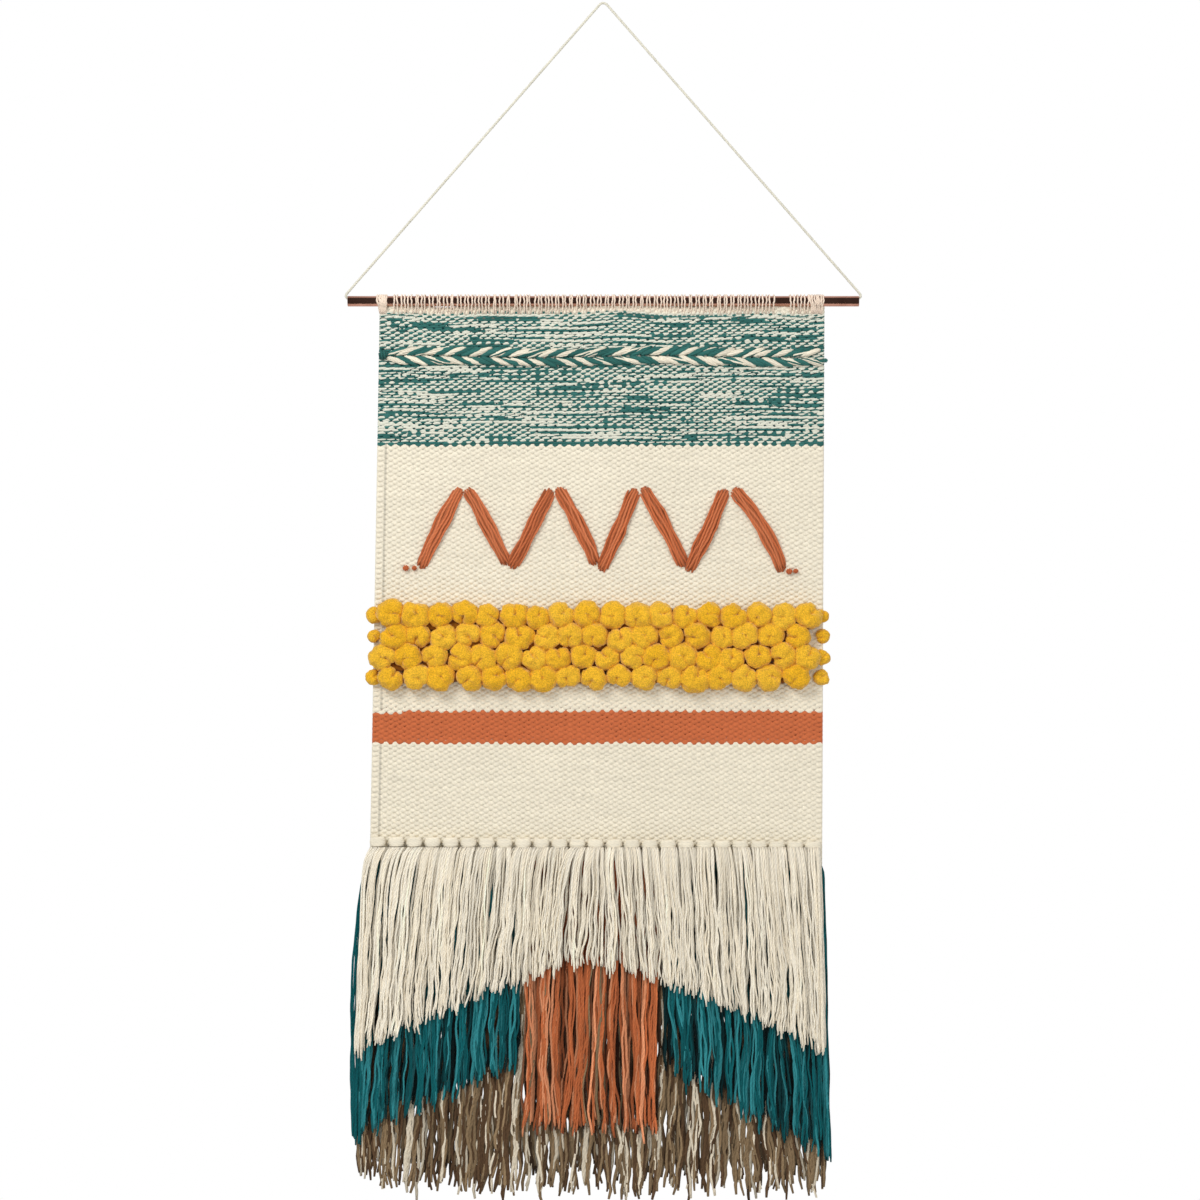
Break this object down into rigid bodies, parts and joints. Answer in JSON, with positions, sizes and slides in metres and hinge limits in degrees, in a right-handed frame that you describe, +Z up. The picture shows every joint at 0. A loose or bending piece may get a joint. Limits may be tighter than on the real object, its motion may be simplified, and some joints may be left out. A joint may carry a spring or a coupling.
{
  "type": "tapestry wall hanging",
  "caption": "Woven textile panel looped over a metal tube that hangs from a cord, with a yarn braid, zigzag floats, loop pile and tiered fringe.",
  "frame": {"origin": "the point of the wall hook that carries the cord, on the underside of the cord at the top of its bend", "axes": "+Z up, +X to the right seen from the front, +Y into the wall, so the front faces -Y"},
  "size_m": [0.5174, 0.0264, 1.1925],
  "materials": {
    "cord_cotton": "twisted natural cotton cord, matt",
    "dark_copper": "polished dark copper tube",
    "warp_cotton": "natural cotton warp yarn, matt",
    "cream_yarn": "cream cotton weft, matt with a fine twist",
    "teal_yarn": "teal yarn mixed with cream strands, matt",
    "rust_yarn": "rust yarn, matt",
    "yellow_yarn": "golden yellow felted yarn, fuzzy",
    "taupe_yarn": "mixed taupe, dark brown and beige yarn, matt"
  },
  "bodies": {
    "cord": {"hanging_cord": "cord_cotton", "cord_knot": "cord_cotton"},
    "tube": {"hanging_tube": "dark_copper"},
    "panel": {"warp_loops": "warp_cotton", "warp_bundle_left": "warp_cotton", "warp_bundle_right": "warp_cotton", "warp_threads": "warp_cotton", "selvedge_warps_left": "warp_cotton", "selvedge_warps_right": "warp_cotton", "heading_row": "cream_yarn", "teal_weave": "teal_yarn", "cream_weave_upper": "cream_yarn", "rust_weave_stripe": "rust_yarn", "cream_weave_lower": "cream_yarn", "braid_upper_row": "teal_yarn", "braid_lower_row": "teal_yarn", "braid_end_knots": "teal_yarn", "zigzag_tails": "rust_yarn", "pile_edge_loops_left": "yellow_yarn", "pile_edge_loops_right": "yellow_yarn", "front_knots": "cream_yarn", "teal_knots_left": "teal_yarn", "rust_knots_centre": "rust_yarn", "teal_knots_right": "teal_yarn", "back_knots": "taupe_yarn", "zigzag_stroke_1": "rust_yarn", "zigzag_stroke_2": "rust_yarn", "zigzag_stroke_3": "rust_yarn", "zigzag_stroke_4": "rust_yarn", "zigzag_stroke_5": "rust_yarn", "zigzag_stroke_6": "rust_yarn", "zigzag_stroke_7": "rust_yarn", "zigzag_stroke_8": "rust_yarn", "pile_row_1": "yellow_yarn", "pile_row_2": "yellow_yarn", "pile_row_3": "yellow_yarn", "pile_row_4": "yellow_yarn"},
    "front_tier": {"front_fringe": "cream_yarn"},
    "middle_tier": {"teal_fringe_left": "teal_yarn", "rust_fringe_centre": "rust_yarn", "teal_fringe_right": "teal_yarn"},
    "back_tier": {"back_fringe": "taupe_yarn"}
  },
  "joints": [
    {"name": "tube_roll", "type": "hinge", "parent": "cord", "child": "tube", "pos_m": [0, 0, -0.297], "axis": [1, 0, 0], "continuous": true},
    {"name": "panel_swing", "type": "hinge", "parent": "cord", "child": "panel", "pos_m": [0, 0, -0.297], "axis": [-1, 0, 0], "range_deg": [0, 30]},
    {"name": "front_fringe_swing", "type": "hinge", "parent": "panel", "child": "front_tier", "pos_m": [0, -0.0108, -0.85], "axis": [-1, 0, 0], "range_deg": [0, 35]},
    {"name": "middle_fringe_swing", "type": "hinge", "parent": "panel", "child": "middle_tier", "pos_m": [0, -0.0049, -0.8686], "axis": [-1, 0, 0], "range_deg": [0, 21]},
    {"name": "back_fringe_swing", "type": "hinge", "parent": "panel", "child": "back_tier", "pos_m": [0, 0.0008, -0.912], "axis": [-1, 0, 0], "range_deg": [0, 10.5]}
  ],
  "couplings": [
    {"joint": "middle_fringe_swing", "follows": "front_fringe_swing", "ratio": 0.6},
    {"joint": "back_fringe_swing", "follows": "front_fringe_swing", "ratio": 0.3}
  ]
}
